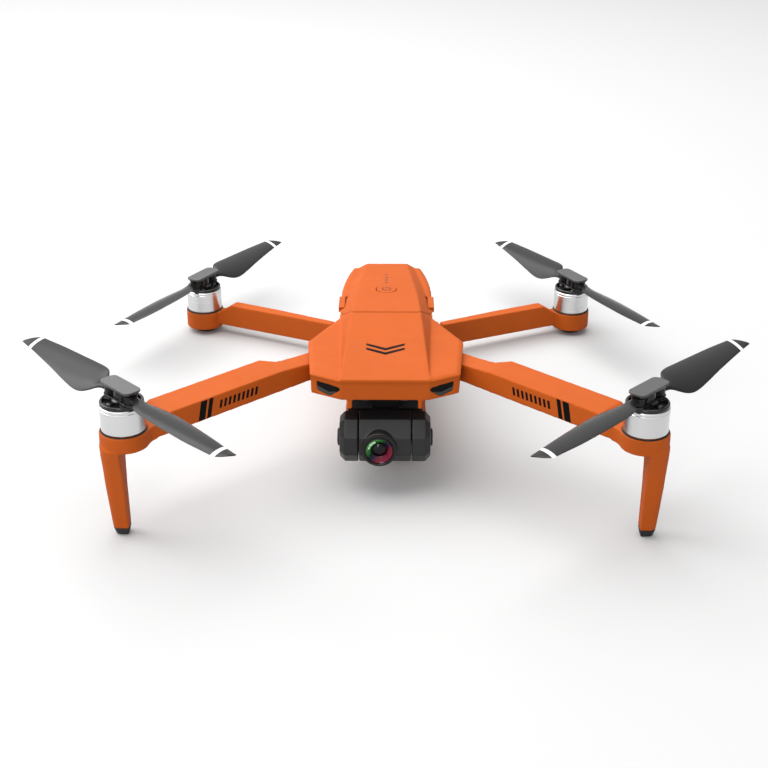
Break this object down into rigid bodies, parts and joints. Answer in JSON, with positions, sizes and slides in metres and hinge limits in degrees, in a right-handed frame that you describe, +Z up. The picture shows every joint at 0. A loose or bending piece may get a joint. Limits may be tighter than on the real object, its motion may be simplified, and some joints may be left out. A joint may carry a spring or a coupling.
{
  "type": "folding camera quadcopter",
  "caption": "Folding camera quadcopter with faceted shell, folding arms and propellers, two-axis nose gimbal and slide-out battery pack.",
  "frame": {"origin": "on the ground under the centre of the drone's bounding box, arms and propellers open", "axes": "+Z up, nose and camera towards -Y, tail towards +Y, left arm side at -X"},
  "size_m": [0.333, 0.3586, 0.0723],
  "materials": {
    "orange_shell": "satin",
    "battery_shell": "satin",
    "arm_shell": "satin",
    "black_gloss": "gloss",
    "black_plastic": "satin",
    "gimbal_black": "satin",
    "silver_bell": "turned",
    "stator_metal": "copper windings",
    "blade_plastic": "satin",
    "foot_rubber": "matt",
    "steel_pin": "brushed",
    "circuit_board": "satin",
    "cell_foil": "foil",
    "lens_coating": "coated",
    "light_lens": "gloss",
    "led_lens": "gloss",
    "button_plastic": "satin"
  },
  "bodies": {
    "body": {"lower_hull": "orange_shell", "upper_canopy": "orange_shell", "left_nose_window": "black_gloss", "right_nose_window": "black_gloss", "arm_hinge_pins": "steel_pin", "hull_screws": "steel_pin", "main_board": "circuit_board", "gps_module": "black_plastic", "flow_sensor": "black_plastic", "tail_light_lens": "light_lens", "battery_connector": "black_plastic", "gimbal_mount_plate": "black_plastic", "gimbal_dampers": "foot_rubber", "gimbal_base": "gimbal_black"},
    "battery": {"battery_case": "battery_shell", "battery_lid": "battery_shell", "battery_cells": "cell_foil", "battery_leds": "led_lens"},
    "power_button": {"power_button": "button_plastic"},
    "left_release_button": {"left_release_button": "button_plastic"},
    "right_release_button": {"right_release_button": "button_plastic"},
    "gimbal_roll": {"gimbal_yoke": "gimbal_black", "gimbal_caps": "gimbal_black"},
    "camera": {"camera_barrel": "gimbal_black", "lens_ring": "black_gloss", "lens_glass": "lens_coating", "camera_board": "circuit_board"},
    "front_left_arm": {"front_left_arm": "arm_shell", "front_left_stator": "stator_metal", "front_left_foot": "foot_rubber"},
    "front_left_rotor": {"front_left_bell": "silver_bell", "front_left_prop_hub": "black_plastic", "front_left_hub_cap": "black_plastic"},
    "front_left_blade_a": {"front_left_blade_a": "blade_plastic"},
    "front_left_blade_b": {"front_left_blade_b": "blade_plastic"},
    "front_right_arm": {"front_right_arm": "arm_shell", "front_right_stator": "stator_metal", "front_right_foot": "foot_rubber"},
    "front_right_rotor": {"front_right_bell": "silver_bell", "front_right_prop_hub": "black_plastic", "front_right_hub_cap": "black_plastic"},
    "front_right_blade_a": {"front_right_blade_a": "blade_plastic"},
    "front_right_blade_b": {"front_right_blade_b": "blade_plastic"},
    "rear_left_arm": {"rear_left_arm": "arm_shell", "rear_left_stator": "stator_metal", "rear_left_pad": "foot_rubber"},
    "rear_left_rotor": {"rear_left_bell": "silver_bell", "rear_left_prop_hub": "black_plastic", "rear_left_hub_cap": "black_plastic"},
    "rear_left_blade_a": {"rear_left_blade_a": "blade_plastic"},
    "rear_left_blade_b": {"rear_left_blade_b": "blade_plastic"},
    "rear_right_arm": {"rear_right_arm": "arm_shell", "rear_right_stator": "stator_metal", "rear_right_pad": "foot_rubber"},
    "rear_right_rotor": {"rear_right_bell": "silver_bell", "rear_right_prop_hub": "black_plastic", "rear_right_hub_cap": "black_plastic"},
    "rear_right_blade_a": {"rear_right_blade_a": "blade_plastic"},
    "rear_right_blade_b": {"rear_right_blade_b": "blade_plastic"}
  },
  "joints": [
    {"name": "battery_slide", "type": "slide", "parent": "body", "child": "battery", "axis": [0, 1, 0], "range_m": [0, 0.07]},
    {"name": "power_button_press", "type": "slide", "parent": "battery", "child": "power_button", "axis": [0, 0, -1], "range_m": [0, 0.0008], "stiffness_N_per_m": 300},
    {"name": "left_release_press", "type": "slide", "parent": "battery", "child": "left_release_button", "axis": [1, 0, 0], "range_m": [0, 0.0014], "stiffness_N_per_m": 300},
    {"name": "right_release_press", "type": "slide", "parent": "battery", "child": "right_release_button", "axis": [-1, 0, 0], "range_m": [0, 0.0014], "stiffness_N_per_m": 300},
    {"name": "gimbal_roll", "type": "hinge", "parent": "body", "child": "gimbal_roll", "pos_m": [0, -0.056, 0.0248], "axis": [0, 1, 0], "range_deg": [-15, 15]},
    {"name": "camera_pitch", "type": "hinge", "parent": "gimbal_roll", "child": "camera", "pos_m": [0, -0.075, 0.0248], "axis": [1, 0, 0], "range_deg": [-20, 90]},
    {"name": "front_left_arm_fold", "type": "hinge", "parent": "body", "child": "front_left_arm", "pos_m": [-0.0322, -0.0473, 0.05], "axis": [0, 0, -1], "range_deg": [0, 131]},
    {"name": "front_left_spin", "type": "hinge", "parent": "front_left_arm", "child": "front_left_rotor", "pos_m": [-0.112, -0.1201, 0.0513], "axis": [0, 0, 1], "continuous": true},
    {"name": "front_left_blade_a_fold", "type": "hinge", "parent": "front_left_rotor", "child": "front_left_blade_a", "pos_m": [-0.11682, -0.11502, 0.0682], "axis": [0, 0, 1], "range_deg": [-90, 90]},
    {"name": "front_left_blade_b_fold", "type": "hinge", "parent": "front_left_rotor", "child": "front_left_blade_b", "pos_m": [-0.10718, -0.12518, 0.0682], "axis": [0, 0, 1], "range_deg": [-90, 90]},
    {"name": "front_right_arm_fold", "type": "hinge", "parent": "body", "child": "front_right_arm", "pos_m": [0.0322, -0.0473, 0.05], "axis": [0, 0, 1], "range_deg": [0, 131]},
    {"name": "front_right_spin", "type": "hinge", "parent": "front_right_arm", "child": "front_right_rotor", "pos_m": [0.112, -0.1201, 0.0513], "axis": [0, 0, 1], "continuous": true},
    {"name": "front_right_blade_a_fold", "type": "hinge", "parent": "front_right_rotor", "child": "front_right_blade_a", "pos_m": [0.11682, -0.11502, 0.0682], "axis": [0, 0, -1], "range_deg": [-90, 90]},
    {"name": "front_right_blade_b_fold", "type": "hinge", "parent": "front_right_rotor", "child": "front_right_blade_b", "pos_m": [0.10718, -0.12518, 0.0682], "axis": [0, 0, -1], "range_deg": [-90, 90]},
    {"name": "rear_left_arm_fold", "type": "hinge", "parent": "body", "child": "rear_left_arm", "pos_m": [-0.0242, 0.0716, 0.0115], "axis": [0, 0, 1], "range_deg": [0, 110]},
    {"name": "rear_left_spin", "type": "hinge", "parent": "rear_left_arm", "child": "rear_left_rotor", "pos_m": [-0.106, 0.1091, 0.0129], "axis": [0, 0, 1], "continuous": true},
    {"name": "rear_left_blade_a_fold", "type": "hinge", "parent": "rear_left_rotor", "child": "rear_left_blade_a", "pos_m": [-0.10245, 0.11513, 0.0298], "axis": [0, 0, -1], "range_deg": [0, 90]},
    {"name": "rear_left_blade_b_fold", "type": "hinge", "parent": "rear_left_rotor", "child": "rear_left_blade_b", "pos_m": [-0.10955, 0.10307, 0.0298], "axis": [0, 0, -1], "range_deg": [0, 90]},
    {"name": "rear_right_arm_fold", "type": "hinge", "parent": "body", "child": "rear_right_arm", "pos_m": [0.0242, 0.0716, 0.0115], "axis": [0, 0, -1], "range_deg": [0, 110]},
    {"name": "rear_right_spin", "type": "hinge", "parent": "rear_right_arm", "child": "rear_right_rotor", "pos_m": [0.106, 0.1091, 0.0129], "axis": [0, 0, 1], "continuous": true},
    {"name": "rear_right_blade_a_fold", "type": "hinge", "parent": "rear_right_rotor", "child": "rear_right_blade_a", "pos_m": [0.10245, 0.11513, 0.0298], "axis": [0, 0, 1], "range_deg": [0, 90]},
    {"name": "rear_right_blade_b_fold", "type": "hinge", "parent": "rear_right_rotor", "child": "rear_right_blade_b", "pos_m": [0.10955, 0.10307, 0.0298], "axis": [0, 0, 1], "range_deg": [0, 90]}
  ],
  "couplings": [
    {"joint": "rear_left_blade_a_fold", "follows": "rear_left_arm_fold", "ratio": 0.818},
    {"joint": "rear_left_blade_b_fold", "follows": "rear_left_arm_fold", "ratio": 0.818},
    {"joint": "rear_right_blade_a_fold", "follows": "rear_right_arm_fold", "ratio": 0.818},
    {"joint": "rear_right_blade_b_fold", "follows": "rear_right_arm_fold", "ratio": 0.818}
  ]
}
